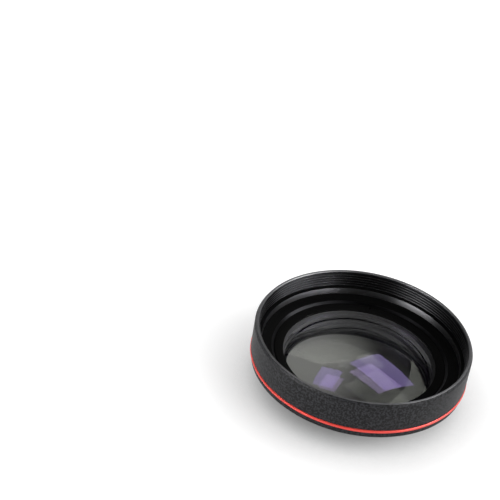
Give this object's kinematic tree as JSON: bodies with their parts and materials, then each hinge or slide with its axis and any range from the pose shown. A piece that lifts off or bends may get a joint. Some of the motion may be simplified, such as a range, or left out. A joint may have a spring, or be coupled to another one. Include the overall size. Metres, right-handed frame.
{
  "type": "wide-angle conversion lens",
  "caption": "Shallow round screw-on wide-angle conversion lens with a domed front glass, threaded front ring, red accent ring and a knurled detachable close-up section.",
  "frame": {"origin": "centre of the rear end, in the plane that the lens stands on", "axes": "+Z along the optical axis, towards the front rim; the body is turned about Z"},
  "size_m": [0.0804, 0.0804, 0.0237],
  "materials": {
    "black_anodised_aluminium": "bead-blasted, black anodised",
    "red_anodised_aluminium": "turned, red anodised",
    "coated_optical_glass": "polished, multi-coated",
    "black_nylon": "punched black nylon",
    "blackened_steel": "black oxide"
  },
  "bodies": {
    "close_up_unit": {"close_up_barrel": "black_anodised_aluminium", "close_up_element": "coated_optical_glass", "close_up_seat_washer": "black_nylon", "close_up_cushion_ring": "black_nylon", "close_up_retaining_ring": "black_anodised_aluminium"},
    "wide_unit": {"front_ring": "black_anodised_aluminium", "red_accent_ring": "red_anodised_aluminium", "main_barrel": "black_anodised_aluminium", "ring_lock_screws": "blackened_steel", "front_retaining_ring": "black_anodised_aluminium", "front_cushion_ring": "black_nylon", "front_element": "coated_optical_glass", "element_spacer_ring": "black_anodised_aluminium", "second_element": "coated_optical_glass", "element_seat_washer": "black_nylon"}
  },
  "joints": [
    {"name": "wide_unit_unscrew", "type": "slide", "parent": "close_up_unit", "child": "wide_unit", "axis": [0, 0, 1], "range_m": [0, 0.005]}
  ]
}
